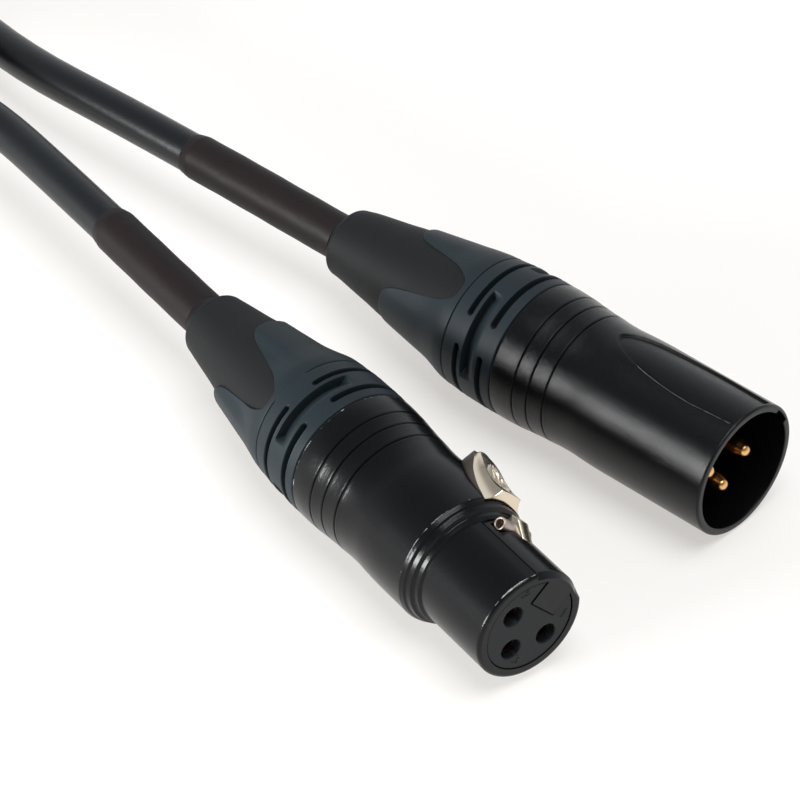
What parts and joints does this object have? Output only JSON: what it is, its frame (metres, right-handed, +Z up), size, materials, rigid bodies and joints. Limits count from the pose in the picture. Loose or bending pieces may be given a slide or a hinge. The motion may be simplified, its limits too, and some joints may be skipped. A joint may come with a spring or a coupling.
{
  "type": "microphone cable",
  "caption": "Flexible microphone cable with a male and a female three-pole round connector, its spare length wound in a tied coil.",
  "frame": {"origin": "centre of the two connectors' box, on the table they lie on", "axes": "+X along the male connector towards its mouth, +Y from the female to the male connector, +Z up"},
  "size_m": [0.2468, 0.0875, 0.0247],
  "materials": {
    "barrel": "satin black lacquer with a fine grain",
    "carrier": "moulded",
    "contact": "gold plated",
    "chuck": "moulded",
    "skin": "satin slate grey",
    "boot": "matte",
    "core": "insulated wire",
    "jacket": "smooth flexible PVC",
    "sleeve": "shrunk tube",
    "latch": "satin nickel plate",
    "steel": "bright",
    "strap": "woven hook and loop strap"
  },
  "bodies": {
    "cable": {"male_shell": "barrel", "male_insert": "carrier", "male_chuck": "chuck", "male_bushing": "skin", "male_boot": "boot", "male_cores": "core", "male_cable_end": "jacket", "male_sleeve": "sleeve", "female_shell": "barrel", "female_insert": "carrier", "female_chuck": "chuck", "female_bushing": "skin", "female_boot": "boot", "female_cores": "core", "female_cable_end": "jacket", "female_sleeve": "sleeve", "male_pin_1": "contact", "female_socket_1": "contact", "male_pin_2": "contact", "female_socket_2": "contact", "male_pin_3": "contact", "female_socket_3": "contact", "female_latch_pivot": "steel", "female_latch_spring": "steel", "cable_male_run": "jacket", "cable_female_run": "jacket", "cable_coil": "jacket", "cable_tie": "strap"},
    "latch": {"female_latch": "latch", "female_roll_pin": "latch"}
  },
  "joints": [
    {"name": "latch_press", "type": "hinge", "parent": "cable", "child": "latch", "pos_m": [0.00977, -0.01134, 0.01399], "axis": [0.1304, 0.6709, -0.73], "range_deg": [0, 4], "stiffness_Nm_per_rad": 0.12, "springref_deg": -8.59, "deforming": ["female_latch_spring"]}
  ]
}
